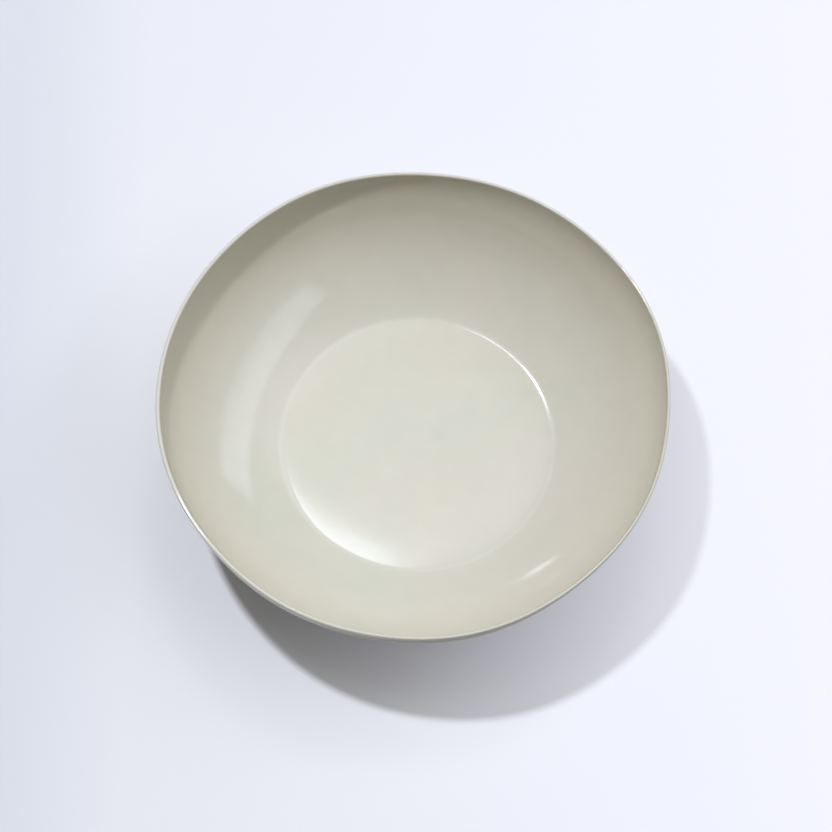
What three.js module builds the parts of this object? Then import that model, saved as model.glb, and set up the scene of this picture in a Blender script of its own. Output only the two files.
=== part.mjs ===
// Wide hand-thrown serving bowl: fired clay wall and floor, an added foot
// ring, a thick pale glaze over the whole outside and inside, and a glaze
// disc under the floor. The ground face of the foot is left bare.
//
// Millimetres, +Z up. The origin lies on the ground under the middle of the
// lip. The floor and the foot sit a little off that middle, because the wall
// leans as it rises, as a thrown wall does.

import * as THREE from 'three';

// Driving dimensions of the bowl.
const LIP_RADIUS = 148.8;
const BOWL_HEIGHT = 78;
const WELL_RADIUS = 82.2;
const FOOT_RADIUS = 82;
const FOOT_HEIGHT = 6;

// Thickness over the finished glaze: the floor at its ring, the wall half way
// up, and the lip.
const FLOOR_THICKNESS = 7;
const WALL_THICKNESS = 3.8;
const LIP_THICKNESS = 2.2;
// One side of the lip is thicker than the other by twice this much.
const LIP_THICKNESS_SWAY = 0.45;
const LIP_THICKEST_AT = 155;

// The inner line of the bowl: a floor that is flat in the middle and turns up
// towards a soft ring, and then a curved wall.
const WELL_DISH = 2.4;
const WELL_DISH_POWER = 4;
const RING_HALF_WIDTH = 2.6;
const WALL_START_SLOPE = 21;
const WALL_END_SLOPE = 85;
// The wall is steeper at the lip in three places, which swell outwards.
const WALL_SWELL = 2.5;
const WALL_SWELLS = 3;
const WALL_SWELLS_AT = 255;
// How far each end of the wall keeps its slope, as a share of its own run.
const WALL_START_REACH = 0.5;
const WALL_END_REACH = 0.42;

// The foot ring, which narrows to the ground and has softened edges. The
// shoulder is the least run from its outer corner to the wall's outside.
const FOOT_WIDTH = 8;
const FOOT_TAPER = 1.4;
const FOOT_EDGE = 0.8;
const FOOT_SHOULDER = 4;
const UNDERSIDE_RISE = 0.5;

// Glaze: its thickness, and the height at which it stops on the foot.
const GLAZE = 0.4;
const GLAZE_STOP = 1.8;

// Clearances: a film of glaze on its clay, and the foot under the floor.
const GLAZE_GAP = 0.1;
const FOOT_GAP = 0.3;

// How far the wall leans from the foot to the lip.
const LEAN_X = -1.6;
const LEAN_Y = 1.1;

// The lip is not a true circle. Each wave has its number of crests in one
// turn, its height in mm, and the direction of a crest in degrees from +X.
const LIP_WAVES = [
  { crests: 2, height: 0.25, at: 0 },
  { crests: 3, height: 0.4, at: 34 },
  { crests: 4, height: 0.4, at: 19 },
  { crests: 5, height: 0.2, at: -31 },
  { crests: 7, height: 0.2, at: 22 },
  { crests: 8, height: 0.25, at: 18 },
];

// Fineness of the model: steps round the bowl and along its section, and the
// halvings that find a place on the wall.
const STEPS_ROUND = 72;
const STEPS_FLOOR = 3;
const STEPS_WALL = 10;
const STEPS_LIP = 4;
const HALVINGS = 24;

const CLAY_COLOUR = 0x9a8f80;
const GLAZE_COLOUR = 0xcfcdc0;

// Values that follow from the driving dimensions.
const FLOOR_LINE = FOOT_HEIGHT + FLOOR_THICKNESS;
const FOOT_INNER = FOOT_RADIUS - FOOT_WIDTH;
const FULL_FILM = GLAZE + GLAZE_GAP;
const HALF_WAY = 0.5;

const radians = THREE.MathUtils.degToRad;
const { lerp } = THREE.MathUtils;

// The unit step along a line that rises at a slope in radians.
function wayAt(slope) {
  return new THREE.Vector2(Math.cos(slope), Math.sin(slope));
}

// A point of the inner line, with the way into the clay and the thickness of
// the bowl there.
function station(point, slope, thickness) {
  const into = new THREE.Vector2(Math.sin(slope), -Math.cos(slope));
  return { point, slope, into, thickness };
}

function floorHeight(radius) {
  return FLOOR_LINE - WELL_DISH * (1 - (radius / WELL_RADIUS) ** WELL_DISH_POWER);
}

function floorSlope(radius) {
  const steepest = (WELL_DISH_POWER * WELL_DISH) / WELL_RADIUS;
  return Math.atan(steepest * (radius / WELL_RADIUS) ** (WELL_DISH_POWER - 1));
}

// The floor, with its points closer together where it turns up.
function floorStations() {
  const stations = [];
  for (let i = 0; i <= STEPS_FLOOR; i += 1) {
    const radius = (WELL_RADIUS - RING_HALF_WIDTH) * Math.sqrt(i / STEPS_FLOOR);
    const point = new THREE.Vector2(radius, floorHeight(radius));
    stations.push(station(point, floorSlope(radius), FLOOR_THICKNESS));
  }
  return stations;
}

function lipThickness(angle) {
  return LIP_THICKNESS + LIP_THICKNESS_SWAY * Math.cos(angle - radians(LIP_THICKEST_AT));
}

// The wall thins evenly from the floor to half way, and again to the lip.
function wallThickness(along, angle) {
  if (along < HALF_WAY) {
    return lerp(FLOOR_THICKNESS, WALL_THICKNESS, along / HALF_WAY);
  }
  return lerp(WALL_THICKNESS, lipThickness(angle), (along - HALF_WAY) / (1 - HALF_WAY));
}

function wallEndSlope(angle) {
  const swell = WALL_SWELL * Math.cos(WALL_SWELLS * (angle - radians(WALL_SWELLS_AT)));
  return radians(WALL_END_SLOPE + swell);
}

// The wall's inner line from the floor ring to the lip, as one curve.
function wallCurve(angle) {
  const run = LIP_RADIUS - WELL_RADIUS;
  const rise = BOWL_HEIGHT - LIP_THICKNESS / 2 - FLOOR_LINE;
  const start = new THREE.Vector2(WELL_RADIUS, FLOOR_LINE);
  const end = new THREE.Vector2(LIP_RADIUS - LIP_THICKNESS / 2, FLOOR_LINE + rise);
  const startWay = wayAt(radians(WALL_START_SLOPE));
  const endWay = wayAt(wallEndSlope(angle));
  return new THREE.CubicBezierCurve(
    start,
    start.clone().addScaledVector(startWay, WALL_START_REACH * run),
    end.clone().addScaledVector(endWay, -WALL_END_REACH * rise),
    end,
  );
}

// A place on the wall, from 0 at the floor ring to 1 at the lip.
function wallStation(curve, along, angle) {
  const way = curve.getTangentAt(along);
  return station(curve.getPointAt(along), way.angle(), wallThickness(along, angle));
}

function wallStations(angle, curve, first) {
  const stations = [];
  for (let i = 0; i <= STEPS_WALL; i += 1) {
    stations.push(wallStation(curve, lerp(first, 1, i / STEPS_WALL), angle));
  }
  return stations;
}

// The middle of the soft ring, where the floor turns into the wall.
function ringStation(floorEnd, wallStart) {
  const corner = new THREE.Vector2(WELL_RADIUS, FLOOR_LINE);
  const chord = floorEnd.point.clone().lerp(wallStart.point, HALF_WAY);
  const slope = lerp(floorEnd.slope, wallStart.slope, HALF_WAY);
  return station(chord.lerp(corner, HALF_WAY), slope, FLOOR_THICKNESS);
}

// The first place on the wall whose outside clears the shoulder of the foot.
function outsideStart(curve, first, angle) {
  const isClear = (along) => {
    const { point, into, thickness } = wallStation(curve, along, angle);
    return point.x + into.x * thickness >= FOOT_RADIUS + FOOT_SHOULDER;
  };
  let low = first;
  let high = isClear(first) ? first : 1;
  for (let i = 0; i < HALVINGS; i += 1) {
    const middle = (low + high) / 2;
    if (isClear(middle)) {
      high = middle;
    } else {
      low = middle;
    }
  }
  return high;
}

// The stations of the inside and of the outside at an angle round the bowl.
function bowlLines(angle) {
  const curve = wallCurve(angle);
  const first = RING_HALF_WIDTH / curve.getLength();
  const floor = floorStations();
  const wall = wallStations(angle, curve, first);
  const ring = ringStation(floor[STEPS_FLOOR], wall[0]);
  return {
    inside: [...floor, ring, ...wall],
    outside: wallStations(angle, curve, outsideStart(curve, first, angle)),
    lip: wall[STEPS_WALL],
  };
}

// The inner face at a depth below the finished surface.
function innerFace(inside, depth) {
  return inside.map(({ point, into }) => point.clone().addScaledVector(into, depth));
}

// The outer face of the wall at the same depth, from the lip down.
function outerFace(outside, depth) {
  const points = outside.map(({ point, into, thickness }) => (
    point.clone().addScaledVector(into, thickness - depth)
  ));
  return points.reverse();
}

// The rounded edge of the lip, from the inner face over to the outer face.
function lipRound(lip, depth) {
  const radius = lip.thickness / 2 - depth;
  const middle = lip.point.clone().addScaledVector(lip.into, lip.thickness / 2);
  const upright = lip.into.angle() + Math.PI;
  const points = [];
  for (let i = 1; i < STEPS_LIP; i += 1) {
    const turn = wayAt(upright - (Math.PI * i) / STEPS_LIP);
    points.push(middle.clone().addScaledVector(turn, radius));
  }
  return points;
}

// The corner where the clay wall's outside meets the foot's outside.
function footCorner() {
  return new THREE.Vector2(FOOT_RADIUS, FOOT_HEIGHT);
}

// That corner with a film on it, as thick on the wall as on the foot.
function filmCorner(outside, film) {
  const { point, into, thickness } = outside[0];
  const above = point.clone().addScaledVector(into, thickness - FULL_FILM);
  const slope = above.sub(footCorner()).angle();
  const drop = film * Math.tan(Math.PI / 4 - slope / 2);
  return footCorner().add(new THREE.Vector2(film, -drop));
}

// The outside of the foot at a height, with a film on it.
function footSide(height, film) {
  const share = 1 - height / FOOT_HEIGHT;
  return new THREE.Vector2(FOOT_RADIUS - FOOT_TAPER * share + film, height);
}

// The clay's section, from the middle of the floor over the lip to the
// middle of the underside.
function claySection(angle) {
  const { inside, outside, lip } = bowlLines(angle);
  return [
    ...innerFace(inside, FULL_FILM),
    ...lipRound(lip, FULL_FILM),
    ...outerFace(outside, FULL_FILM),
    footCorner(),
    new THREE.Vector2(FOOT_INNER, FOOT_HEIGHT),
    new THREE.Vector2(0, FOOT_HEIGHT + UNDERSIDE_RISE),
  ];
}

// The glaze coat's section: out over the finished surface to the foot, and
// back along the clay.
function glazeSection(angle) {
  const { inside, outside, lip } = bowlLines(angle);
  const finished = [
    ...innerFace(inside, 0),
    ...lipRound(lip, 0),
    ...outerFace(outside, 0),
    filmCorner(outside, FULL_FILM),
    footSide(GLAZE_STOP, FULL_FILM),
  ];
  const backing = [
    ...innerFace(inside, GLAZE),
    ...lipRound(lip, GLAZE),
    ...outerFace(outside, GLAZE),
    filmCorner(outside, GLAZE_GAP),
    footSide(GLAZE_STOP, GLAZE_GAP),
  ];
  return [...finished, ...backing.reverse()];
}

// The foot ring's section, a closed outline with softened ground edges.
function footSection() {
  const top = FOOT_HEIGHT - FOOT_GAP;
  const outerLow = FOOT_RADIUS - FOOT_TAPER;
  const innerLow = FOOT_INNER + FOOT_TAPER;
  return [
    new THREE.Vector2(FOOT_INNER, top),
    footSide(top, 0),
    footSide(FOOT_EDGE, 0),
    new THREE.Vector2(outerLow - FOOT_EDGE, 0),
    new THREE.Vector2(innerLow + FOOT_EDGE, 0),
    new THREE.Vector2(innerLow, FOOT_EDGE),
  ];
}

// The glaze disc under the floor, inside the foot ring.
function baseGlazeSection() {
  const edge = FOOT_INNER - FOOT_GAP;
  const clayHeight = (radius) => FOOT_HEIGHT + UNDERSIDE_RISE * (1 - radius / FOOT_INNER);
  return [
    new THREE.Vector2(0, clayHeight(0) - GLAZE_GAP),
    new THREE.Vector2(edge, clayHeight(edge) - GLAZE_GAP),
    new THREE.Vector2(edge - GLAZE, clayHeight(edge) - FULL_FILM),
    new THREE.Vector2(0, clayHeight(0) - FULL_FILM),
  ];
}

// The lip's waves and the wall's lean grow from nothing at the floor ring to
// their full size at the lip.
function place(point, angle) {
  const outwards = (point.x - WELL_RADIUS) / (LIP_RADIUS - WELL_RADIUS);
  const share = THREE.MathUtils.clamp(outwards, 0, 1);
  const wave = LIP_WAVES.reduce(
    (sum, { crests, height, at }) => sum + height * Math.cos(crests * (angle - radians(at))),
    0,
  );
  const radius = point.x + share * wave;
  return [
    radius * Math.cos(angle) - LEAN_X * (1 - share),
    radius * Math.sin(angle) - LEAN_Y * (1 - share),
    point.y,
  ];
}

// A closed body whose section is given at every angle round the bowl. The
// section runs clockwise, seen with the radius to the right and up above.
// A section that starts and ends on the axis closes with a point there.
function turned(sectionAt) {
  const positions = [];
  const rows = [];
  for (let step = 0; step < STEPS_ROUND; step += 1) {
    const angle = (2 * Math.PI * step) / STEPS_ROUND;
    const row = sectionAt(angle).map((point, i) => {
      if (point.x === 0 && step > 0) {
        return rows[0][i];
      }
      positions.push(...place(point, angle));
      return positions.length / 3 - 1;
    });
    rows.push(row);
  }
  const indices = [];
  const count = rows[0].length;
  for (let step = 0; step < STEPS_ROUND; step += 1) {
    const here = rows[step];
    const next = rows[(step + 1) % STEPS_ROUND];
    for (let i = 0; i < count; i += 1) {
      const j = (i + 1) % count;
      addFace(indices, here[i], here[j], next[j]);
      addFace(indices, here[i], next[j], next[i]);
    }
  }
  const geometry = new THREE.BufferGeometry();
  geometry.setAttribute('position', new THREE.Float32BufferAttribute(positions, 3));
  geometry.setIndex(indices);
  geometry.computeVertexNormals();
  return geometry;
}

// Skips the face where two of its corners are the same point on the axis.
function addFace(indices, a, b, c) {
  if (a !== b && b !== c && c !== a) {
    indices.push(a, b, c);
  }
}

function piece(name, sectionAt, material) {
  const mesh = new THREE.Mesh(turned(sectionAt), material);
  mesh.name = name;
  return mesh;
}

const clay = new THREE.MeshStandardMaterial({
  color: CLAY_COLOUR,
  roughness: 0.85,
  metalness: 0,
});
const glaze = new THREE.MeshStandardMaterial({
  color: GLAZE_COLOUR,
  roughness: 0.15,
  metalness: 0,
});

const bowl = new THREE.Group();
bowl.add(piece('clay_body', claySection, clay));
bowl.add(piece('foot_ring', footSection, clay));
bowl.add(piece('glaze_coat', glazeSection, glaze));
bowl.add(piece('base_glaze', baseGlazeSection, glaze));

export default bowl;
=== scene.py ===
# %% [markdown]
# A wide glazed bowl on a pale table
#
# The bowl is thrown stoneware under a thick pale glaze. The packed model gives
# its real size and place. Each step below says first what a piece or a finish
# is on the real bowl, how it could be made and why it is made this way. Then
# short cells make it and print what they made. All lengths are in metres.

# %% Load the frame
import math
from collections import namedtuple

import bpy
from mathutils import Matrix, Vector


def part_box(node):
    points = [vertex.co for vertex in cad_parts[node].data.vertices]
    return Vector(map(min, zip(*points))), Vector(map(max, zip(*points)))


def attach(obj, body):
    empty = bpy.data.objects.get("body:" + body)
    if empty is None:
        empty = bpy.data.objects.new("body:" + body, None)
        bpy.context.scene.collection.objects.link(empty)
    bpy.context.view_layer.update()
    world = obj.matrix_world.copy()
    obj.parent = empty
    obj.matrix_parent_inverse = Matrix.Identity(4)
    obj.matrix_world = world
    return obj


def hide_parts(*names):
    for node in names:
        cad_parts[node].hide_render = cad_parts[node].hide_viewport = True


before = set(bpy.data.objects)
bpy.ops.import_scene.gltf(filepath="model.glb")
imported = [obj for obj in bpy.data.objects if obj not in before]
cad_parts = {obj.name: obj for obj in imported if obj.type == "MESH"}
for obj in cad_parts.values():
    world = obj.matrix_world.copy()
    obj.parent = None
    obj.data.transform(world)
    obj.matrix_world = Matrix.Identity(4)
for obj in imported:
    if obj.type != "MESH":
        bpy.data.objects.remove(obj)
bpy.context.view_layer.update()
scene = bpy.context.scene
MM = 0.001
print("nodes:", sorted(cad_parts))

# %% [markdown]
# The camera
#
# The photograph looks down at the bowl from high above its near side. A camera
# could be moved by hand until the picture fits. Working it out is surer: the
# ellipse of the lip gives the height of the eye, and a long lens seen from far
# away keeps the far side of the lip almost as wide as the near side. The lens
# then follows from the distance and from the width of the view.

# %% Camera
CAMERA_ELEVATION = math.radians(66)
CAMERA_DISTANCE = 1.8
VIEW_WIDTH = 497.6 * MM
VIEW_MIDDLE = Vector((0.88 * MM, 9.16 * MM, 30 * MM))
SENSOR_WIDTH = 36

camera_way = Vector((0, -math.cos(CAMERA_ELEVATION), math.sin(CAMERA_ELEVATION)))
camera = bpy.data.objects.new("camera", bpy.data.cameras.new("camera"))
scene.collection.objects.link(camera)
camera.location = VIEW_MIDDLE + camera_way * CAMERA_DISTANCE
camera.rotation_euler = camera_way.to_track_quat("Z", "Y").to_euler()
camera.data.sensor_width = SENSOR_WIDTH
camera.data.lens = SENSOR_WIDTH * CAMERA_DISTANCE / VIEW_WIDTH
scene.camera = camera
print("lens in mm:", round(camera.data.lens, 1))

# %% [markdown]
# The sizes
#
# These are the sizes that a potter would give: the lip, the well, the foot,
# the thickness of the clay and of the glaze. Each is written once, so that it
# can be changed in one place. The middle of the foot is read from the packed
# foot ring, because the wall leans away from it a little. The lip is drawn in
# by a hair, because the round shape made here would stand out past the flat
# faces of the packed one.

# %% Sizes
INSIDE_THE_BOX = 0.08 * MM
LIP_RADIUS = 148.8 * MM - INSIDE_THE_BOX
BOWL_HEIGHT = 78 * MM
WELL_RADIUS = 82.2 * MM
FOOT_RADIUS = 82 * MM
FOOT_HEIGHT = 6 * MM
FOOT_WIDTH = 8 * MM
FOOT_TAPER = 1.4 * MM
FOOT_GAP = 0.3 * MM
UNDERSIDE_RISE = 0.5 * MM
FLOOR_THICKNESS = 7 * MM
WALL_THICKNESS = 3.8 * MM
LIP_THICKNESS = 2.2 * MM
WELL_DISH = 2.4 * MM
WELL_DISH_POWER = 4
RING_HALF_WIDTH = 2.6 * MM
GLAZE_FILM = 0.4 * MM
GLAZE_GAP = 0.1 * MM
GLAZE_STOP = 1.8 * MM

FLOOR_LINE = FOOT_HEIGHT + FLOOR_THICKNESS
FOOT_INNER = FOOT_RADIUS - FOOT_WIDTH
FULL_FILM = GLAZE_FILM + GLAZE_GAP
foot_low, foot_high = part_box("foot_ring")
foot_middle = (foot_low + foot_high) / 2
print("foot's middle in mm:", [round(place / MM, 2) for place in foot_middle])

# %% [markdown]
# The wall's line
#
# A thrown wall leaves the floor at a low slope, bends up and ends almost
# upright. It could be drawn through many measured points, but each would be a
# chance for a dent. One cubic curve between those two slopes stays fair. It is
# walked by its length, so that the thickness can change evenly along the wall.

# %% The wall's line
WALL_START_SLOPE = math.radians(21)
WALL_END_SLOPE = math.radians(85)
WALL_START_REACH = 0.5
WALL_END_REACH = 0.42
CURVE_SAMPLES = 400
TINY = 1e-12
Station = namedtuple("Station", "point slope into thickness")


def way_at(slope):
    return Vector((math.cos(slope), math.sin(slope)))


def station(point, slope, thickness):
    """A point of the inner line, its slope, the way into the clay and the thickness."""
    return Station(point, slope, Vector((math.sin(slope), -math.cos(slope))), thickness)


class WallCurve:
    """The wall's inner line, walked from 0 at the floor ring to 1 at the lip."""

    def __init__(self, end_slope):
        run = LIP_RADIUS - WELL_RADIUS
        top = BOWL_HEIGHT - LIP_THICKNESS / 2
        rise = top - FLOOR_LINE
        start = Vector((WELL_RADIUS, FLOOR_LINE))
        end = Vector((LIP_RADIUS - LIP_THICKNESS / 2, top))
        self.corners = (
            start,
            start + way_at(WALL_START_SLOPE) * WALL_START_REACH * run,
            end - way_at(end_slope) * WALL_END_REACH * rise,
            end,
        )
        places = [self.point(i / CURVE_SAMPLES) for i in range(CURVE_SAMPLES + 1)]
        self.lengths = [0]
        for before, after in zip(places, places[1:]):
            self.lengths.append(self.lengths[-1] + (after - before).length)

    def point(self, t):
        a, b, c, d = self.corners
        s = 1 - t
        return a * s**3 + b * 3 * s * s * t + c * 3 * s * t * t + d * t**3

    def slope(self, t):
        a, b, c, d = self.corners
        s = 1 - t
        way = (b - a) * s * s + (c - b) * 2 * s * t + (d - c) * t * t
        return math.atan2(way.y, way.x)

    def walked(self, along):
        """The curve's own number t at a share of its length."""
        target = along * self.lengths[-1]
        i = next(i for i in range(CURVE_SAMPLES) if self.lengths[i + 1] >= target - TINY)
        step = self.lengths[i + 1] - self.lengths[i]
        return (i + (target - self.lengths[i]) / step) / CURVE_SAMPLES


wall_curve = WallCurve(WALL_END_SLOPE)
print("wall's length in mm:", round(wall_curve.lengths[-1] / MM, 1))

# %% [markdown]
# The bowl's inner line
#
# The floor is flat in the middle and turns up towards the well's edge. There a
# soft ring leads over into the wall. A Bevel modifier could round that corner
# of the finished mesh, but the clay and the glaze would then be rounded apart.
# A small parabola in the line itself gives both the same ring.

# %% The bowl's inner line
STEPS_FLOOR = 24
STEPS_RING = 12
STEPS_WALL = 60
HALF_WAY = 0.5


def wall_thickness(along, lip_thickness):
    if along < HALF_WAY:
        share = along / HALF_WAY
        return FLOOR_THICKNESS + (WALL_THICKNESS - FLOOR_THICKNESS) * share
    share = (along - HALF_WAY) / (1 - HALF_WAY)
    return WALL_THICKNESS + (lip_thickness - WALL_THICKNESS) * share


def floor_stations():
    made = []
    for i in range(STEPS_FLOOR + 1):
        radius = (WELL_RADIUS - RING_HALF_WIDTH) * math.sqrt(i / STEPS_FLOOR)
        share = radius / WELL_RADIUS
        height = FLOOR_LINE - WELL_DISH * (1 - share**WELL_DISH_POWER)
        steepest = WELL_DISH_POWER * WELL_DISH / WELL_RADIUS
        slope = math.atan(steepest * share ** (WELL_DISH_POWER - 1))
        made.append(station(Vector((radius, height)), slope, FLOOR_THICKNESS))
    return made


def wall_stations(end_slope, lip_thickness):
    curve = WallCurve(end_slope)
    first = RING_HALF_WIDTH / curve.lengths[-1]
    made = []
    for i in range(STEPS_WALL + 1):
        along = first + (1 - first) * i / STEPS_WALL
        t = curve.walked(along)
        made.append(station(curve.point(t), curve.slope(t), wall_thickness(along, lip_thickness)))
    return made


def ring_stations(floor_end, wall_start):
    corner = Vector((WELL_RADIUS, FLOOR_LINE))
    made = []
    for i in range(1, STEPS_RING):
        t = i / STEPS_RING
        s = 1 - t
        point = floor_end.point * s * s + corner * 2 * s * t + wall_start.point * t * t
        way = (corner - floor_end.point) * s + (wall_start.point - corner) * t
        made.append(station(point, math.atan2(way.y, way.x), FLOOR_THICKNESS))
    return made


def bowl_lines(end_slope=WALL_END_SLOPE, lip_thickness=LIP_THICKNESS):
    """The stations of the whole inside, and of the wall alone."""
    floor = floor_stations()
    wall = wall_stations(end_slope, lip_thickness)
    return floor + ring_stations(floor[-1], wall[0]) + wall, wall


inside, wall = bowl_lines()
print("stations inside:", len(inside), "on the wall:", len(wall))

# %% [markdown]
# The faces of the wall
#
# Every solid of the bowl is drawn as a section, seen with the middle of the
# bowl to the left. One skin with a Solidify modifier could give the wall its
# thickness, but the real wall thins from the floor to the lip, and the clay
# must follow the glaze at an even depth. So each face is drawn from the inner
# line and a depth below the finished surface. A section's point keeps three
# things: where it is, the place of the inner line that it belongs to, and how
# far it follows the soft undulation of that line, which fades out at the lip
# and at the foot.

# %% The faces of the wall
STEPS_LIP = 12
LIP_CALM = 12 * MM
SectionPoint = namedtuple("SectionPoint", "place line out give")


def calm_at_lip(point, last):
    """One below the lip, falling to zero at it, so that undulation leaves the lip's own line."""
    return min(1, (last - point).length / LIP_CALM)


def face_points(stations, depth, outside=False):
    """One face of the wall, at a depth below its finished surface."""
    made = []
    for i, (point, _, into, thickness) in enumerate(stations):
        place = point + into * (thickness - depth if outside else depth)
        give = calm_at_lip(point, stations[-1].point)
        if outside:
            give *= i / (len(stations) - 1)
        made.append(SectionPoint(place, point, -into, give))
    return made[::-1] if outside else made


def lip_points(last, depth):
    """The rounded edge of the lip, from the inside over to the outside."""
    radius = last.thickness / 2 - depth
    middle = last.point + last.into * last.thickness / 2
    upright = last.slope + math.pi / 2
    made = []
    for i in range(1, STEPS_LIP):
        turn = way_at(upright - math.pi * i / STEPS_LIP)
        made.append(SectionPoint(middle + turn * radius, last.point, -last.into, 0))
    return made


print("thickness at the ring and at the lip in mm:",
      [round(place.thickness / MM, 2) for place in (wall[0], wall[-1])])

# %% [markdown]
# Rounded corners and the foot
#
# A potter's sponge leaves no sharp edge. A corner could be cut by one flat
# face, but light would show it, so each is a small parabola with a few points.
# The foot's side leans out a little towards the floor of the bowl, and a film
# of glaze on it stands out by its own thickness.

# %% Rounded corners and the foot
STEPS_BEND = 6


def still(place):
    """A point that no undulation moves."""
    return SectionPoint(place, place, Vector((0, 1)), 0)


def bend(before, corner, after, reach):
    """A rounded corner, as a small parabola that starts and ends at a reach from it."""
    start = corner + (before - corner).normalized() * reach
    end = corner + (after - corner).normalized() * reach
    made = []
    for i in range(STEPS_BEND + 1):
        t = i / STEPS_BEND
        s = 1 - t
        made.append(still(start * s * s + corner * 2 * s * t + end * t * t))
    return made


def foot_side(height, film):
    share = 1 - height / FOOT_HEIGHT
    return Vector((FOOT_RADIUS - FOOT_TAPER * share + film, height))


def film_corner(wall_start, film):
    """The corner between the wall's outside and the foot, with a film on it."""
    corner = Vector((FOOT_RADIUS, FOOT_HEIGHT))
    above = wall_start.point + wall_start.into * (wall_start.thickness - FULL_FILM)
    way = above - corner
    slope = math.atan2(way.y, way.x)
    return corner + Vector((film, -film * math.tan(math.pi / 4 - slope / 2)))


print("foot's radius on the table in mm:", round(foot_side(0, 0).x / MM, 1))

# %% [markdown]
# The four sections
#
# The glaze is one closed film over the inside, the lip and the outside. It
# ends in a soft roll low on the foot, where a potter wipes it off. The clay is
# closed under it. The foot ring has eased edges, and the disc of glaze inside
# it ends in a soft edge too. The bowl could be one solid with painted zones,
# but real glaze has an edge that catches the light, so each is its own solid.

# %% The four sections
GLAZE_BEND = 1.2 * MM
INSIDE_BEND = 0.8 * MM
FOOT_BEND = 0.9 * MM
STEPS_ROLL = 8


def film_side(lines, depth, reach):
    """One side of the glaze film, from the middle of the floor to the foot."""
    inner, outer = lines
    above = outer[0].point + outer[0].into * (outer[0].thickness - depth)
    low = foot_side(GLAZE_STOP, FULL_FILM - depth)
    return [
        *face_points(inner, depth),
        *lip_points(outer[-1], depth),
        *face_points(outer, depth, outside=True),
        *bend(above, film_corner(outer[0], FULL_FILM - depth), low, reach),
        still(low),
    ]


def glaze_section(lines):
    finished = film_side(lines, 0, GLAZE_BEND)
    backing = film_side(lines, GLAZE_FILM, INSIDE_BEND)
    middle = (finished[-1].place + backing[-1].place) / 2
    roll = []
    for i in range(1, STEPS_ROLL):
        turn = way_at(-math.pi * i / STEPS_ROLL)
        roll.append(still(middle + turn * GLAZE_FILM / 2))
    return finished + roll + backing[::-1]


def clay_section(lines):
    inner, outer = lines
    return [
        *face_points(inner, FULL_FILM),
        *lip_points(outer[-1], FULL_FILM),
        *face_points(outer, FULL_FILM, outside=True),
        still(Vector((FOOT_RADIUS, FOOT_HEIGHT))),
        still(Vector((FOOT_INNER, FOOT_HEIGHT))),
        still(Vector((0, FOOT_HEIGHT + UNDERSIDE_RISE))),
    ]


def foot_section(lines):
    top = FOOT_HEIGHT - FOOT_GAP
    corners = [
        Vector((FOOT_INNER, top)),
        foot_side(top, 0),
        foot_side(0, 0),
        Vector((FOOT_INNER + FOOT_TAPER, 0)),
    ]
    reaches = [FOOT_GAP, FOOT_GAP, FOOT_BEND, FOOT_BEND]
    made = []
    for i, corner in enumerate(corners):
        made += bend(corners[i - 1], corner, corners[(i + 1) % len(corners)], reaches[i])
    return made + made[:1]


def base_glaze_section(lines):
    edge = FOOT_INNER - FOOT_GAP

    def under(radius, film):
        return Vector((radius, FOOT_HEIGHT + UNDERSIDE_RISE * (1 - radius / FOOT_INNER) - film))

    return [
        still(under(0, GLAZE_GAP)),
        still(under(edge, GLAZE_GAP)),
        *bend(under(edge, GLAZE_GAP), under(edge, FULL_FILM), under(0, FULL_FILM), GLAZE_FILM),
        still(under(0, FULL_FILM)),
    ]


for make in (glaze_section, clay_section, foot_section, base_glaze_section):
    print(make.__name__, "has", len(make(bowl_lines())), "points")

# %% [markdown]
# The section as a line that remembers
#
# The bowl isn't the same all round: the lip is thicker on one side, and in
# three places the wall stands steeper. Every angle could have a section of its
# own, but both changes are small, so each point of one section also stores how
# far it moves for the full change of either. The turned shape then only has to
# add those moves by the angle. Each point also stores its walk, the length of
# the line up to it, which the finishes read later.

# %% The section as a line that remembers
LIP_SWAY = 0.45 * MM
WALL_SWELL = math.radians(2.5)


def moved(make_section, change):
    """How far each section point moves, in half of the way between both ends of a change."""
    more = make_section(bowl_lines(**change(1)))
    less = make_section(bowl_lines(**change(-1)))
    return [(a.place - b.place) / 2 for a, b in zip(more, less)]


def swell_change(sign):
    return {"end_slope": WALL_END_SLOPE + sign * WALL_SWELL}


def sway_change(sign):
    return {"lip_thickness": LIP_THICKNESS + sign * LIP_SWAY}


def walks(points):
    """The length of the line up to each of its points."""
    made = [0]
    for before, after in zip(points, points[1:]):
        made.append(made[-1] + (after.place - before.place).length)
    return made


def section_line(name, make_section):
    """A line of vertices in the XZ plane, which carries what it remembers as attributes."""
    points = make_section(bowl_lines())
    mesh = bpy.data.meshes.new(name)
    mesh.from_pydata(
        [(p.place.x, 0, p.place.y) for p in points],
        [(i, i + 1) for i in range(len(points) - 1)],
        [],
    )
    vectors = {
        "swell": moved(make_section, swell_change),
        "sway": moved(make_section, sway_change),
        "line": [p.line for p in points],
        "out": [p.out for p in points],
    }
    for title, values in vectors.items():
        layer = mesh.attributes.new(title, "FLOAT_VECTOR", "POINT")
        for item, value in zip(layer.data, values):
            item.vector = (value.x, 0, value.y)
    for title, values in {"give": [p.give for p in points], "walk": walks(points)}.items():
        layer = mesh.attributes.new(title, "FLOAT", "POINT")
        layer.data.foreach_set("value", values)
    made = bpy.data.objects.new(name, mesh)
    scene.collection.objects.link(made)
    return made


largest_swell = max(move.length for move in moved(clay_section, swell_change))
print("a swell moves the wall by up to", round(largest_swell / MM, 2), "mm")

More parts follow.
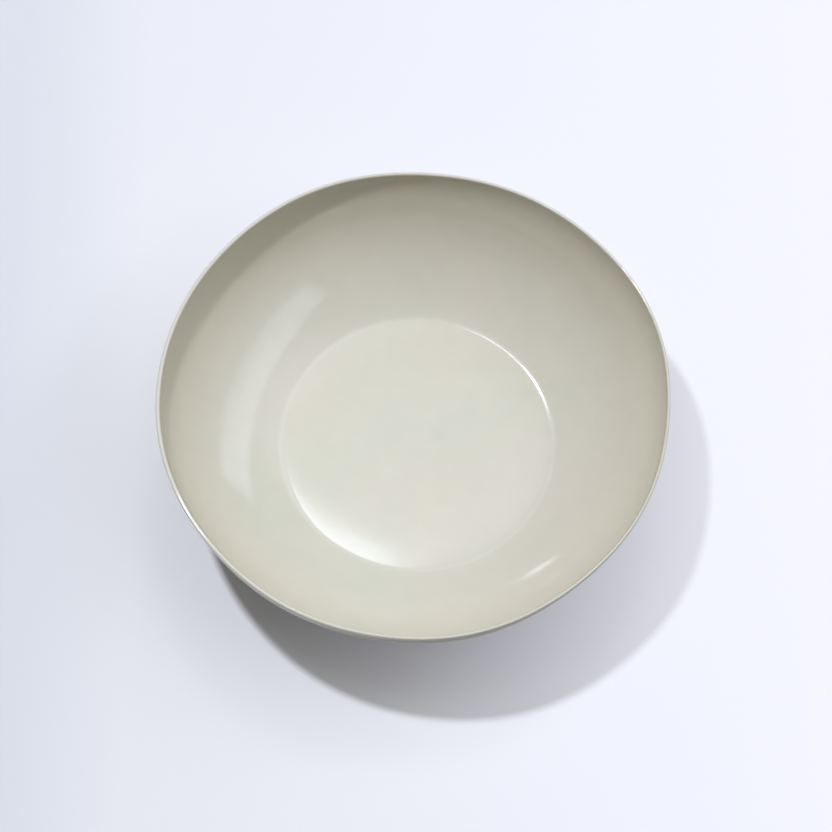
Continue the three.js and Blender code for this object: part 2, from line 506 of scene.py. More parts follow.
# %% [markdown]
# A helper for node trees
#
# Geometry and materials are both made of nodes here. They could be placed and
# joined by hand in Blender's editors, but a script says which value goes where
# and gives the same tree each time. This small helper adds a node, joins what
# is given to its sockets, and lets a formula be written in one line.

# %% A helper for node trees
class Wiring:
    """Adds nodes to a tree. A value may be a plain number or another node's socket."""

    def __init__(self, tree):
        self.tree = tree

    def feed(self, socket, value):
        if isinstance(value, bpy.types.NodeSocket):
            self.tree.links.new(value, socket)
        else:
            socket.default_value = value

    def node(self, kind, inputs=None, **settings):
        made = self.tree.nodes.new(kind)
        for name, value in settings.items():
            setattr(made, name, value)
        for name, value in (inputs or {}).items():
            self.feed(made.inputs[name], value)
        return made

    def math(self, operation, *values, clamp=False):
        made = self.node("ShaderNodeMath", operation=operation, use_clamp=clamp)
        for socket, value in zip(made.inputs, values):
            self.feed(socket, value)
        return made.outputs[0]

    def total(self, *values):
        result = values[0]
        for value in values[1:]:
            result = self.math("ADD", result, value)
        return result

    def product(self, *values):
        result = values[0]
        for value in values[1:]:
            result = self.math("MULTIPLY", result, value)
        return result


print("the helper can:", [name for name in vars(Wiring) if not name.startswith("_")])

# %% [markdown]
# The turned shape and its inputs
#
# A bowl is its section carried round an axis. The Screw modifier could turn
# the section, but it would make every angle alike. Geometry Nodes can differ
# by the angle: a grid has one row for each section point and one column for
# each step round the bowl, and every grid point looks up its section point by
# its row. Its angle then adds the swell, the sway, the lip's waves, the lean
# and the soft undulation that the potter's hands left. All of those sizes are
# inputs with names.

# %% The turned shape and its inputs
Wave = namedtuple("Wave", "crests height crest_at")
LIP_WAVES = [
    Wave(2, 0.25 * MM, 0),
    Wave(3, 0.4 * MM, 34),
    Wave(4, 0.4 * MM, 19),
    Wave(5, 0.2 * MM, -31),
    Wave(7, 0.2 * MM, 22),
    Wave(8, 0.25 * MM, 18),
]
FLOAT_INPUTS = {
    "Well radius": WELL_RADIUS,
    "Lip radius": LIP_RADIUS,
    "Foot middle X": foot_middle.x,
    "Foot middle Y": foot_middle.y,
    "Swells": 3,
    "Swells at": math.radians(255),
    "Thickest at": math.radians(155),
    "Hand waves height": 0.16 * MM,
    "Hand waves size": 70 * MM,
    "Ripples height": 0.05 * MM,
    "Ripples size": 26 * MM,
    "Throwing rings height": 0.045 * MM,
    "Throwing rings size": 9 * MM,
    "Throwing rings change": 1.2,
    "Seed": 3.0,
    "Sharp angle": math.radians(50),
    "Merge distance": 0.002 * MM,
}
for wave in LIP_WAVES:
    FLOAT_INPUTS[f"Wave {wave.crests} height"] = wave.height
    FLOAT_INPUTS[f"Wave {wave.crests} crest at"] = math.radians(wave.crest_at)
print("named sizes of the turned shape:", len(FLOAT_INPUTS))

# %% [markdown]
# What a grid point looks up
#
# Each point of the grid needs the place of its section point and what that
# point remembers. The tree could work all of it out again, but the line holds
# it already, and a Sample Index node takes the value of one point by its
# number.

# %% What a grid point looks up
def remembered(wires, given, row, title=None):
    """What the section remembers at a row: an attribute, or its place where none is named."""
    kind = "FLOAT" if title in ("give", "walk") else "FLOAT_VECTOR"
    if title:
        value = wires.node(
            "GeometryNodeInputNamedAttribute", {"Name": title}, data_type=kind
        ).outputs["Attribute"]
    else:
        value = wires.node("GeometryNodeInputPosition").outputs["Position"]
    return wires.node(
        "GeometryNodeSampleIndex",
        {"Geometry": given["Section"], "Value": value, "Index": row},
        data_type=kind,
        domain="POINT",
    ).outputs["Value"]


def parts_of(wires, vector):
    """A remembered vector's share away from the axis and its height."""
    split = wires.node("ShaderNodeSeparateXYZ", {"Vector": vector})
    return split.outputs["X"], split.outputs["Z"]


print("helpers made:", remembered.__name__, "and", parts_of.__name__)

# %% [markdown]
# The potter's hands
#
# A thrown surface is never quite even: it has broad waves, finer ripples and
# the rings that fingers leave as the wheel turns. They could be a bump in the
# material, but the outline and the reflections of a glossy bowl show the real
# surface, so smooth noise moves the points. The noise is read at the inner
# line, so that both faces of the wall and of the glaze move together.

# %% The potter's hands
def uneven(wires, given, title, spot, scale):
    """Smooth noise round zero, as high as the input that is named after it."""
    noise = wires.node(
        "ShaderNodeTexNoise",
        {
            "Vector": wires.node("ShaderNodeCombineXYZ", spot).outputs["Vector"],
            "W": given["Seed"],
            "Scale": scale,
            "Detail": 0.0,
        },
        noise_dimensions="4D",
    )
    centred = wires.product(wires.math("SUBTRACT", noise.outputs["Fac"], 0.5), 2)
    return wires.product(centred, given[f"{title} height"])


def undulation(wires, given, line, angle):
    """Broad waves of the hand, finer ripples and rings of the wheel, read at the inner line."""
    radius, height = parts_of(wires, line)
    cosine = wires.math("COSINE", angle)
    sine = wires.math("SINE", angle)
    spot = {
        "X": wires.product(radius, cosine),
        "Y": wires.product(radius, sine),
        "Z": height,
    }
    result = wires.total(
        uneven(wires, given, "Hand waves", spot, wires.math("DIVIDE", 1, given["Hand waves size"])),
        uneven(wires, given, "Ripples", spot, wires.math("DIVIDE", 1, given["Ripples size"])),
    )
    # A ring of the wheel changes only slowly on its way round, so its noise reads the
    # distance from the middle at full scale and the angle at a much coarser one.
    outwards = wires.math("SUBTRACT", wires.total(radius, height), given["Well radius"])
    ring_spot = {
        "X": wires.product(cosine, given["Throwing rings change"]),
        "Y": wires.product(sine, given["Throwing rings change"]),
        "Z": wires.math("DIVIDE", outwards, given["Throwing rings size"]),
    }
    on_the_wall = wires.math("DIVIDE", outwards, given["Throwing rings size"], clamp=True)
    rings = uneven(wires, given, "Throwing rings", ring_spot, 1.0)
    return wires.total(result, wires.product(rings, on_the_wall))


print("helpers made:", uneven.__name__, "and", undulation.__name__)

# %% [markdown]
# Where a grid point goes
#
# The lip of the real bowl isn't a true circle, and it stands a little to one
# side of the foot. A Simple Deform or a lattice could bend the finished mesh,
# but it would bend the foot as well. Here the waves and the lean grow with the
# share of the way from the well to the lip, so that the foot stays round.

# %% Where a grid point goes
def lip_wave(wires, given, angle):
    """All the waves of the lip at an angle, added up."""
    result = 0.0
    for crests in [wave.crests for wave in LIP_WAVES]:
        turn = wires.math("SUBTRACT", angle, given[f"Wave {crests} crest at"])
        crest = wires.math("COSINE", wires.product(turn, crests))
        result = wires.total(result, wires.product(crest, given[f"Wave {crests} height"]))
    return result


def section_place(wires, given, row, angle):
    """A section point's radius and height with the swell, the sway and the undulation."""
    from_swell = wires.math("SUBTRACT", angle, given["Swells at"])
    swelling = wires.math("COSINE", wires.product(given["Swells"], from_swell))
    swaying = wires.math("COSINE", wires.math("SUBTRACT", angle, given["Thickest at"]))
    give = wires.product(
        undulation(wires, given, remembered(wires, given, row, "line"), angle),
        remembered(wires, given, row, "give"),
    )
    radius, height = parts_of(wires, remembered(wires, given, row))
    for title, share in {"swell": swelling, "sway": swaying, "out": give}.items():
        out, up = parts_of(wires, remembered(wires, given, row, title))
        radius = wires.total(radius, wires.product(share, out))
        height = wires.total(height, wires.product(share, up))
    return radius, height


def turned_place(wires, given, row, angle):
    radius, height = section_place(wires, given, row, angle)
    share = wires.math(
        "DIVIDE",
        wires.math("SUBTRACT", radius, given["Well radius"]),
        wires.math("SUBTRACT", given["Lip radius"], given["Well radius"]),
        clamp=True,
    )
    radius = wires.total(radius, wires.product(share, lip_wave(wires, given, angle)))
    left_over = wires.math("SUBTRACT", 1, share)
    place = {"Z": height}
    for axis, turn in {"X": "COSINE", "Y": "SINE"}.items():
        place[axis] = wires.total(
            wires.product(radius, wires.math(turn, angle)),
            wires.product(given[f"Foot middle {axis}"], left_over),
        )
    return wires.node("ShaderNodeCombineXYZ", place).outputs["Vector"]


print("crests of the lip's waves:", [wave.crests for wave in LIP_WAVES])

# %% [markdown]
# The tree
#
# The grid is moved into its place, and its points that fall together are
# merged. That closes the seam, where the last step meets the first, and the
# poles in the middle of the floor. Smooth shading everywhere would smear the
# few real edges, so edges above an angle stay sharp.

# %% The tree
def smooth_but_edges(wires, given, geometry):
    """Smooth shading everywhere but on edges that are sharper than the given angle."""
    smooth = wires.node("GeometryNodeSetShadeSmooth", {"Geometry": geometry, "Shade Smooth": True})
    edge = wires.node("GeometryNodeInputMeshEdgeAngle").outputs["Unsigned Angle"]
    sharp = wires.math("GREATER_THAN", edge, given["Sharp angle"])
    result = wires.node(
        "GeometryNodeSetShadeSmooth",
        {"Geometry": smooth.outputs["Geometry"], "Selection": sharp, "Shade Smooth": False},
        domain="EDGE",
    )
    return result.outputs["Geometry"]


def turned_interface(tree):
    face = tree.interface
    face.new_socket("Geometry", in_out="OUTPUT", socket_type="NodeSocketGeometry")
    face.new_socket("Section", in_out="INPUT", socket_type="NodeSocketGeometry")
    face.new_socket("Steps round", in_out="INPUT", socket_type="NodeSocketInt")
    for name in FLOAT_INPUTS:
        face.new_socket(name, in_out="INPUT", socket_type="NodeSocketFloat")
    face.new_socket("Material", in_out="INPUT", socket_type="NodeSocketMaterial")


def turned_tree():
    tree = bpy.data.node_groups.new("turned_ware", "GeometryNodeTree")
    turned_interface(tree)
    wires = Wiring(tree)
    given = wires.node("NodeGroupInput").outputs
    columns = wires.math("ADD", given["Steps round"], 1)
    size = wires.node("GeometryNodeAttributeDomainSize", {"Geometry": given["Section"]})
    grid = wires.node(
        "GeometryNodeMeshGrid",
        {"Vertices X": size.outputs["Point Count"], "Vertices Y": columns},
    )
    index = wires.node("GeometryNodeInputIndex").outputs["Index"]
    # The half keeps a point at the start of a row clear of rounding.
    row = wires.math("FLOOR", wires.math("DIVIDE", wires.math("ADD", index, 0.5), columns))
    column = wires.math("SUBTRACT", index, wires.product(row, columns))
    angle = wires.product(wires.math("DIVIDE", column, given["Steps round"]), 2 * math.pi)
    walked_grid = wires.node(
        "GeometryNodeStoreNamedAttribute",
        {
            "Geometry": grid.outputs["Mesh"],
            "Name": "walk",
            "Value": remembered(wires, given, row, "walk"),
        },
        data_type="FLOAT",
        domain="POINT",
    )
    moved_grid = wires.node(
        "GeometryNodeSetPosition",
        {
            "Geometry": walked_grid.outputs["Geometry"],
            "Position": turned_place(wires, given, row, angle),
        },
    )
    merged = wires.node(
        "GeometryNodeMergeByDistance",
        {"Geometry": moved_grid.outputs["Geometry"], "Distance": given["Merge distance"]},
    )
    smooth = smooth_but_edges(wires, given, merged.outputs["Geometry"])
    real = wires.node("GeometryNodeRealizeInstances", {"Geometry": smooth})
    coated = wires.node(
        "GeometryNodeSetMaterial",
        {"Geometry": real.outputs["Geometry"], "Material": given["Material"]},
    )
    wires.node("NodeGroupOutput", {"Geometry": coated.outputs["Geometry"]})
    return tree


turned_ware = turned_tree()
print("nodes in the tree:", len(turned_ware.nodes))

# %% [markdown]
# What the finishes share
#
# Glaze and clay both change from place to place. A picture could be wrapped
# round the bowl, but it would stretch and show a seam. Noise that reads the
# place on the object has neither, and its sizes are real sizes. The walk along
# the section tells a finish how far it is from the ring or from the lip.

# %% What the finishes share
NOISE_MIDDLE = (0.35, 0.65)
NOISE_MOST = (0.3, 0.7)


class Finish(Wiring):
    """A material's tree. It reads the place on the object, in metres."""

    def __init__(self, tree):
        super().__init__(tree)
        self.place = self.node("ShaderNodeTexCoord").outputs["Object"]

    def noise(self, size, detail=0.0):
        """Smooth noise of a size in metres, round a half."""
        inputs = {"Vector": self.place, "Scale": 1 / size, "Detail": detail}
        return self.node("ShaderNodeTexNoise", inputs).outputs["Fac"]

    def spread(self, value, ends, new_ends=(0.0, 1.0)):
        """The value's way between two ends, carried over to another pair of ends."""
        inputs = {
            "Value": value,
            "From Min": ends[0],
            "From Max": ends[1],
            "To Min": new_ends[0],
            "To Max": new_ends[1],
        }
        return self.node("ShaderNodeMapRange", inputs).outputs["Result"]

    def mixed(self, share, first, second, blend="MIX"):
        """Two colours, mixed by a share. The colour sockets have only numbers of their own."""
        mix = self.node("ShaderNodeMix", {"Factor": share}, data_type="RGBA", blend_type=blend)
        self.feed(mix.inputs[6], first)
        self.feed(mix.inputs[7], second)
        return mix.outputs[2]

    def shaded(self, colour, shade):
        """A colour made lighter or darker, alike in red, green and blue."""
        grey = self.node("ShaderNodeCombineColor", {"Red": shade, "Green": shade, "Blue": shade})
        return self.mixed(1.0, colour, grey.outputs["Color"], blend="MULTIPLY")

    def near_walk(self, walk, reach):
        """One at a walk along the section, falling softly to zero at its reach."""
        here = self.node("ShaderNodeAttribute", attribute_name="walk").outputs["Fac"]
        away = self.math("ABSOLUTE", self.math("SUBTRACT", here, walk))
        return self.node(
            "ShaderNodeMapRange",
            {"Value": away, "From Min": reach, "From Max": 0.0},
            interpolation_type="SMOOTHSTEP",
        ).outputs["Result"]

    def spots(self, spacing, radius):
        """Small round spots, one somewhere in each cell of a lattice."""
        cells = self.node("ShaderNodeTexVoronoi", {"Vector": self.place, "Scale": 1 / spacing})
        return self.spread(cells.outputs["Distance"], (radius / spacing, 0.0))

    def uneven_surface(self, height, depth):
        """A height from zero to one, as deep as the given depth in metres."""
        bump = self.node("ShaderNodeBump", {"Height": height, "Distance": depth})
        return bump.outputs["Normal"]


def new_material(name):
    material = bpy.data.materials.new(name)
    material.use_nodes = True
    return material, Finish(material.node_tree), material.node_tree.nodes["Principled BSDF"]


print("a finish can:", [name for name in vars(Finish) if not name.startswith("_")])

# %% [markdown]
# Glaze
#
# The real glaze is a pale grey-green glass, thick enough to hide the clay. It
# could be made as clear glass over a coloured ground, but so much of the light
# comes back from just below its surface that one glossy coat looks the same
# and renders clean. Its colour drifts slowly between pink and green, with a
# fine mottle. Towards the lip it is painted warmer: painted shade, the warm
# tint that the upper wall takes in its shade. It is paler along the well's
# ring and creamy over the lip. A narrow darker brownish band outside, below
# the lip, is painted shade under the lip's rounded edge. Its surface is very
# slightly uneven, with a few tiny pinholes.

# %% Glaze
GLAZE_GREENISH = (0.592, 0.588, 0.478, 1)
GLAZE_PINKISH = (0.618, 0.584, 0.482, 1)
# Painted shade: the warmer tint that the upper wall takes in its shade, towards the lip.
GLAZE_WARM_SHADE_TINT = (0.630, 0.588, 0.458, 1)
GLAZE_WARM_SHADE_REACH = 80 * MM
# Paler along the well's ring.
GLAZE_RING_PALE = (0.626, 0.614, 0.524, 1)
# Creamier and a little paler over the lip.
GLAZE_LIP_CREAM = (0.640, 0.620, 0.530, 1)
# Painted shade: the darker brownish band outside, just below the lip's rounded edge.
GLAZE_LIP_SHADE = (0.440, 0.400, 0.320, 1)
GLAZE_DRIFT = 80 * MM
GLAZE_MOTTLE = 12 * MM
GLAZE_MOTTLE_RANGE = (0.988, 1.012)
GLAZE_RING_PALE_WIDTH = 2.4 * MM
GLAZE_LIP_CREAM_WIDTH = 1.6 * MM
# Where the painted shade below the lip lies and how wide it is.
GLAZE_LIP_SHADE_BELOW = 4.5 * MM
GLAZE_LIP_SHADE_WIDTH = 3.5 * MM
GLAZE_ROUGHNESS = (0.07, 0.11)
GLAZE_ROUGHNESS_SIZE = 25 * MM
GLAZE_PEEL = 6 * MM
GLAZE_PEEL_DEPTH = 0.016 * MM
GLAZE_PINHOLES = 22 * MM
GLAZE_PINHOLE_RADIUS = 0.5 * MM
GLAZE_IOR = 1.5

glaze_line = glaze_section(bowl_lines())
glaze_walks = walks(glaze_line)
ring_walk = glaze_walks[STEPS_FLOOR + STEPS_RING // 2]
lip_walk = glaze_walks[len(inside) + STEPS_LIP // 2 - 1]


def glaze_colour(finish):
    drift = finish.spread(finish.noise(GLAZE_DRIFT, detail=2.0), NOISE_MIDDLE)
    mottle = finish.spread(finish.noise(GLAZE_MOTTLE, detail=3.0), NOISE_MOST, GLAZE_MOTTLE_RANGE)
    # Painted shade: warmer towards the lip, for the warm shade of the upper wall.
    warm = finish.near_walk(lip_walk, GLAZE_WARM_SHADE_REACH)
    ring_pale = finish.near_walk(ring_walk, GLAZE_RING_PALE_WIDTH)
    lip_cream = finish.near_walk(lip_walk, GLAZE_LIP_CREAM_WIDTH)
    # Painted shade: a darker brownish band outside, under the lip's rounded edge.
    lip_shade = finish.near_walk(lip_walk + GLAZE_LIP_SHADE_BELOW, GLAZE_LIP_SHADE_WIDTH)
    colour = finish.mixed(drift, GLAZE_GREENISH, GLAZE_PINKISH)
    colour = finish.mixed(warm, colour, GLAZE_WARM_SHADE_TINT)
    colour = finish.mixed(ring_pale, colour, GLAZE_RING_PALE)
    colour = finish.mixed(lip_cream, colour, GLAZE_LIP_CREAM)
    colour = finish.mixed(lip_shade, colour, GLAZE_LIP_SHADE)
    return finish.shaded(colour, mottle)


def glaze_material():
    material, finish, shader = new_material("pale_glaze")
    patches = finish.noise(GLAZE_ROUGHNESS_SIZE)
    pinholes = finish.spots(GLAZE_PINHOLES, GLAZE_PINHOLE_RADIUS)
    height = finish.math("SUBTRACT", finish.noise(GLAZE_PEEL, detail=1.0), pinholes)
    finish.feed(shader.inputs["Base Color"], glaze_colour(finish))
    finish.feed(shader.inputs["Roughness"], finish.spread(patches, NOISE_MOST, GLAZE_ROUGHNESS))
    finish.feed(shader.inputs["Normal"], finish.uneven_surface(height, GLAZE_PEEL_DEPTH))
    shader.inputs["IOR"].default_value = GLAZE_IOR
    return material


glaze = glaze_material()
print("the ring's and the lip's walk in mm:", round(ring_walk / MM, 1), round(lip_walk / MM, 1))

# %% [markdown]
# Clay
#
# Where the glaze is wiped off, the fired stoneware is a warm buff. It is matt
# and sandy, has dark iron specks, carries the fine rings of the trimming tool
# and is toasted a little darker in slow patches. The sand is too fine for a
# mesh, so it is a bump, and the rings are worked out from the distance to the
# foot's middle, because noise would not run round it.

# %% Clay
CLAY_PALE = (0.400, 0.325, 0.245, 1)
CLAY_TOASTED = (0.300, 0.215, 0.150, 1)
CLAY_SPECK = (0.060, 0.040, 0.030, 1)
CLAY_PATCHES = 30 * MM
CLAY_SAND = 0.6 * MM
CLAY_SAND_RANGE = (0.88, 1.12)
CLAY_SPECK_SPACING = 4.5 * MM
CLAY_SPECK_RADIUS = 0.45 * MM
CLAY_ROUGHNESS = (0.78, 0.92)
CLAY_SAND_DEPTH = 0.12 * MM
CLAY_TRIM_RINGS = 1.3 * MM
CLAY_TRIM_SHARE = 0.5


def trim_rings(finish):
    """Fine rings round the foot's middle, as the trimming tool leaves them."""
    middle = Vector((foot_middle.x, foot_middle.y, 0))
    flat = finish.node(
        "ShaderNodeVectorMath", {0: finish.place, 1: middle}, operation="SUBTRACT"
    ).outputs["Vector"]
    split = finish.node("ShaderNodeSeparateXYZ", {"Vector": flat}).outputs
    squares = finish.total(
        finish.product(split["X"], split["X"]),
        finish.product(split["Y"], split["Y"]),
    )
    outwards = finish.total(finish.math("SQRT", squares), split["Z"])
    turns = finish.product(outwards, 2 * math.pi / CLAY_TRIM_RINGS)
    return finish.math("MULTIPLY_ADD", finish.math("SINE", turns), 0.5, 0.5)


def clay_material():
    material, finish, shader = new_material("bare_clay")
    toast = finish.spread(finish.noise(CLAY_PATCHES, detail=2.0), NOISE_MIDDLE)
    sand = finish.noise(CLAY_SAND, detail=2.0)
    specks = finish.spots(CLAY_SPECK_SPACING, CLAY_SPECK_RADIUS)
    colour = finish.mixed(toast, CLAY_PALE, CLAY_TOASTED)
    colour = finish.shaded(colour, finish.spread(sand, NOISE_MOST, CLAY_SAND_RANGE))
    colour = finish.mixed(specks, colour, CLAY_SPECK)
    height = finish.total(sand, finish.product(trim_rings(finish), CLAY_TRIM_SHARE))
    finish.feed(shader.inputs["Base Color"], colour)
    finish.feed(shader.inputs["Roughness"], finish.spread(sand, NOISE_MOST, CLAY_ROUGHNESS))
    finish.feed(shader.inputs["Normal"], finish.uneven_surface(height, CLAY_SAND_DEPTH))
    return material


clay = clay_material()
print("made", clay.name)

# %% [markdown]
# The pieces
#
# The real bowl is clay, a foot joined on with slip, and two areas of glaze.
# Each section is turned into a mesh of its own and takes its material in the
# tree. The modifier could stay on the object, but a plain mesh is what can be
# measured and exported, so the result is copied and the modifier removed. Then
# each piece stands for the packed node of the same place.

# %% The pieces
STEPS_ROUND = 256


def turned_piece(name, make_section, material):
    made = section_line(name, make_section)
    modifier = made.modifiers.new("turned", "NODES")
    modifier.node_group = turned_ware
    values = {"Steps round": STEPS_ROUND, "Material": material, **FLOAT_INPUTS}
    for item in turned_ware.interface.items_tree:
        if item.in_out == "INPUT" and item.name in values:
            modifier[item.identifier] = values[item.name]
    depsgraph = bpy.context.evaluated_depsgraph_get()
    shape = bpy.data.meshes.new_from_object(made.evaluated_get(depsgraph), depsgraph=depsgraph)
    made.modifiers.remove(modifier)
    made.data = shape
    print(name, "has", len(shape.polygons), "faces")
    return made


PIECES = [
    ("glazed_body", glaze_section, glaze, "glaze_coat", "glaze"),
    ("clay_wall_and_floor", clay_section, clay, "clay_body", "clay"),
    ("turned_foot", foot_section, clay, "foot_ring", "clay"),
    ("glaze_under_floor", base_glaze_section, glaze, "base_glaze", "glaze"),
]
for name, make_section, material, node, slot in PIECES:
    piece = turned_piece(name, make_section, material)
    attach(piece, "root")
    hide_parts(node)

# %% [markdown]
# The table
#
# The bowl stands on a plain pale surface. Its shadow is deep on the left and
# much lighter on the right, where the surface itself is washed out by the light
# behind the picture's edge. A second lamp there could do it, but it would light
# the bowl as well. So that light is painted: the surface's colour falls from
# left to right, and a glow, the same in shadow and out of it, rises to the right
# and paints the brightness and the lighter shadow there. Only the camera and
# mirror-like reflections see the glow. The colour is also painted lighter from
# the far left into the middle, against the bowl's own shade on the table.

# %% Table
TABLE_SIZE = 8
TABLE_ENDS = (-0.25, 0.25)
# Painted light: the far left colour is darker than the middle, so the table is lighter around the
# bowl, against its shade.
TABLE_COLOUR_LEFT = (0.650, 0.664, 0.682, 1)
TABLE_COLOUR_MIDDLE = (0.744, 0.744, 0.746, 1)
# Painted light: the colour falls towards the right, where the glow rises and paints the brightness
# and the lighter shadow.
TABLE_COLOUR_RIGHT = (0.10, 0.10, 0.10, 1)
TABLE_MIDDLE_FROM = 0.16
TABLE_COLOUR_FALL = 2.5
# Painted light: the colour of the glow on the right and how fast it rises.
TABLE_PAINTED_LIGHT_COLOUR = (0.815, 0.82, 0.92, 1)
TABLE_PAINTED_LIGHT_RISE = 2.2
TABLE_ROUGHNESS = 0.9


def seen_by_camera_or_mirrors(finish):
    """One for a ray from the camera, off a glossy surface or through a clear one."""
    rays = finish.node("ShaderNodeLightPath").outputs
    mirrored = finish.math("MAXIMUM", rays["Is Glossy Ray"], rays["Is Transmission Ray"])
    return finish.math("MAXIMUM", rays["Is Camera Ray"], mirrored)


def table_material():
    material, finish, shader = new_material("pale_table")
    across = finish.node("ShaderNodeSeparateXYZ", {"Vector": finish.place}).outputs["X"]
    share = finish.spread(across, TABLE_ENDS)
    # Painted light: lighter from the far left into the middle, around the bowl.
    middle = finish.spread(share, (0.0, TABLE_MIDDLE_FROM))
    # Painted light: darker colour to the right, where the glow takes over.
    fallen = finish.math("POWER", share, TABLE_COLOUR_FALL)
    colour = finish.mixed(middle, TABLE_COLOUR_LEFT, TABLE_COLOUR_MIDDLE)
    colour = finish.mixed(fallen, colour, TABLE_COLOUR_RIGHT)
    # Painted light: a glow rising to the right, seen only by the camera and mirror-like
    # reflections.
    glow = finish.math("POWER", share, TABLE_PAINTED_LIGHT_RISE)
    glow = finish.product(glow, seen_by_camera_or_mirrors(finish))
    finish.feed(shader.inputs["Base Color"], colour)
    finish.feed(shader.inputs["Emission Strength"], glow)
    shader.inputs["Emission Color"].default_value = TABLE_PAINTED_LIGHT_COLOUR
    shader.inputs["Roughness"].default_value = TABLE_ROUGHNESS
    shader.inputs["Specular IOR Level"].default_value = 0.0
    return material


bpy.ops.mesh.primitive_plane_add(size=TABLE_SIZE)
table = bpy.context.object
table.name = "table"
table.data.materials.append(table_material())
print("table's side in metres:", TABLE_SIZE)

# %% [markdown]
# The lamp
#
# The shadow in the photograph has a fairly crisp edge and lies to the front
# right, so one lamp stands high at the back left. A Sun lamp would do for the
# direction, but a round lamp of a real size and distance also gives the edge
# its softness, and its reflection in the glaze is round.

# %% Lamp
LIGHT_AIM = Vector((0, 0, 0.03))
KEY_AZIMUTH = 144.3
KEY_HEIGHT = 67.7
KEY_DISTANCE = 3.88
KEY_SIZE = 0.27
KEY_POWER = 113
KEY_COLOUR = (0.86, 0.885, 1.0)


def towards(azimuth, height):
    """The way to a point of the room, by its angles in degrees."""
    a, e = math.radians(azimuth), math.radians(height)
    return Vector((math.cos(a) * math.cos(e), math.sin(a) * math.cos(e), math.sin(e)))


def round_lamp(name, place, size, power, colour):
    """A round area light at a place, turned to the bowl."""
    light = bpy.data.lights.new(name, "AREA")
    light.shape = "DISK"
    light.size = size
    light.energy = power
    light.color = colour
    made = bpy.data.objects.new(name, light)
    scene.collection.objects.link(made)
    made.location = place
    made.rotation_euler = (place - LIGHT_AIM).to_track_quat("Z", "Y").to_euler()
    return made


key_place = towards(KEY_AZIMUTH, KEY_HEIGHT) * KEY_DISTANCE
round_lamp("key", key_place, KEY_SIZE, KEY_POWER, KEY_COLOUR)
print("the lamp's height in metres:", round(key_place.z, 2))

# %% [markdown]
# The room
#
# A glossy glaze mirrors the room, so the room needs a shape. Panels of light
# could stand round the bowl, but each would cast a shadow of its own and show
# hard edges in the glaze. The world's shader can do it softly: it looks at the
# way a ray goes and adds up a few glows. The soft light comes from overhead
# and from the back right, and the front left stays dark. A broad window at the
# back lights the crescent in the well, a long slanting one on the right shows
# on the left wall, and a narrow one in the roof draws the arc along the well's
# ring. All angles are in degrees.

# %% The room's glows and windows
WARM = (1.0, 0.96, 0.72, 1)
COOL = (0.87, 0.87, 0.95, 1)
WINDOW = (0.80, 0.86, 1.0, 1)
Glow = namedtuple("Glow", "azimuth height reach strength colour")
SOFT_GLOWS = [
    Glow(0, 90, 28, 0.9, WARM),
    Glow(30, 60, 30, 1.25, COOL),
    Glow(10, 42, 38, 0.35, COOL),
    Glow(-45, 38, 30, 0.12, COOL),
    Glow(98, 63, 7, 1.5, WINDOW),
]
SlantingWindow = namedtuple("SlantingWindow", "one other width soft top_soft glow")
SIDE_WINDOW = SlantingWindow(
    one=towards(43, 16),
    other=towards(-39, 45),
    width=12,
    soft=4,
    top_soft=0.8,
    glow=2.3,
)
ROOF_WINDOW = SlantingWindow(
    one=towards(150, 71),
    other=towards(168, 81),
    width=3,
    soft=1.5,
    top_soft=1.5,
    glow=14,
)
BACK_WINDOW_AZIMUTH = 79
BACK_WINDOW_HEIGHT = 56.5
BACK_WINDOW_SIZE = (18, 10)
BACK_WINDOW_SOFT = 3.2
BACK_WINDOW_GLOW = 8.5
WALLS_WAY = towards(40, 0)
WALLS_FALL = 3
WALLS_HEIGHT = 0.7
WALLS_GLOW = 0.25
print("soft glows:", len(SOFT_GLOWS), "and three windows")


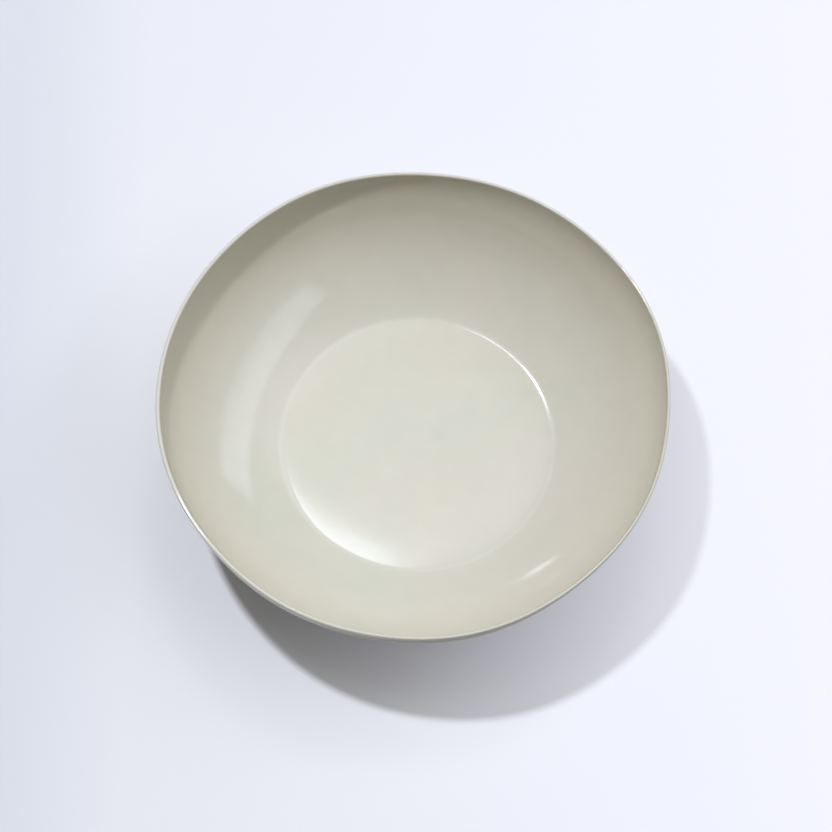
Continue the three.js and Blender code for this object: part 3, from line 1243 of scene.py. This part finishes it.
# %% Looking round the room
class Room(Wiring):
    """The room round the bowl: glows that depend on the way one looks in it."""

    def __init__(self, tree):
        super().__init__(tree)
        self.way = self.node("ShaderNodeTexCoord").outputs["Generated"]
        split = self.node("ShaderNodeSeparateXYZ", {"Vector": self.way}).outputs
        self.up = split["Z"]
        self.height = self.math("ARCSINE", split["Z"])
        self.azimuth = self.math("ARCTAN2", split["Y"], split["X"])

    def along(self, aim):
        dot = self.node("ShaderNodeVectorMath", {0: self.way, 1: aim}, operation="DOT_PRODUCT")
        return dot.outputs["Value"]

    def edge(self, value, at, soft):
        """Zero beyond an edge and one before it, changing over its soft width in degrees."""
        ends = {"From Min": math.radians(at + soft), "From Max": math.radians(at - soft)}
        inputs = {"Value": value, **ends}
        fade = self.node("ShaderNodeMapRange", inputs, interpolation_type="SMOOTHSTEP")
        return fade.outputs["Result"]

    def within(self, value, middle, width, soft):
        """One inside a band of degrees, fading to zero over its soft edges."""
        away = self.math("ABSOLUTE", self.math("SUBTRACT", value, math.radians(middle)))
        return self.edge(away, width / 2, soft)

    def soft_glow(self, glow):
        """A round glow, one in its middle and falling evenly to zero at its reach."""
        edge = math.cos(math.radians(glow.reach))
        near = self.along(towards(glow.azimuth, glow.height))
        return self.math("DIVIDE", self.math("SUBTRACT", near, edge), 1 - edge, clamp=True)

    def walls(self):
        """The pale walls, brightest along their way and low down."""
        near = self.math("MULTIPLY_ADD", self.along(WALLS_WAY), 0.5, 0.5)
        low = self.math("SUBTRACT", 1, self.math("DIVIDE", self.up, WALLS_HEIGHT), clamp=True)
        return self.product(self.math("POWER", near, WALLS_FALL), low)

    def back_window(self):
        wide, tall = BACK_WINDOW_SIZE
        return self.product(
            self.within(self.azimuth, BACK_WINDOW_AZIMUTH, wide, BACK_WINDOW_SOFT),
            self.within(self.height, BACK_WINDOW_HEIGHT, tall, BACK_WINDOW_SOFT),
        )

    def slanting_window(self, window):
        """A long window between two ends, with a softness of its own at the top."""
        below = self.math("ARCSINE", self.along(window.one.cross(window.other).normalized()))
        above = self.math("MULTIPLY", below, -1)
        from_middle = self.math("ARCCOSINE", self.along((window.one + window.other).normalized()))
        length = math.degrees(window.one.angle(window.other))
        return self.product(
            self.edge(above, window.width / 2, window.top_soft),
            self.edge(below, window.width / 2, window.soft),
            self.within(from_middle, 0, length, window.soft),
        )

    def lit(self, share, strength, colour):
        """Light of one colour, as strong as its share of a strength."""
        background = self.node("ShaderNodeBackground", {"Strength": self.product(share, strength)})
        background.inputs["Color"].default_value = colour
        return background.outputs["Background"]

    def together(self, lights):
        """All the lights added up."""
        result = lights[0]
        for light in lights[1:]:
            result = self.node("ShaderNodeAddShader", {0: result, 1: light}).outputs["Shader"]
        return result


print("the room has:", [name for name in vars(Room) if not name.startswith("_")])


# %% The room, lit
def room_world():
    world = bpy.data.worlds.new("room")
    world.use_nodes = True
    world.node_tree.nodes.clear()
    room = Room(world.node_tree)
    lights = [room.lit(room.soft_glow(glow), glow.strength, glow.colour) for glow in SOFT_GLOWS]
    lights.append(room.lit(room.walls(), WALLS_GLOW, COOL))
    lights.append(room.lit(room.back_window(), BACK_WINDOW_GLOW, WINDOW))
    for window in (SIDE_WINDOW, ROOF_WINDOW):
        lights.append(room.lit(room.slanting_window(window), window.glow, WINDOW))
    room.node("ShaderNodeOutputWorld", {"Surface": room.together(lights)})
    return world


scene.world = room_world()
scene.view_settings.view_transform = "Standard"

# %% [markdown]
# Finish
#
# Blender's shapes are meant to keep the bowl no larger than its packed model;
# the lip is drawn in by a hair for it.
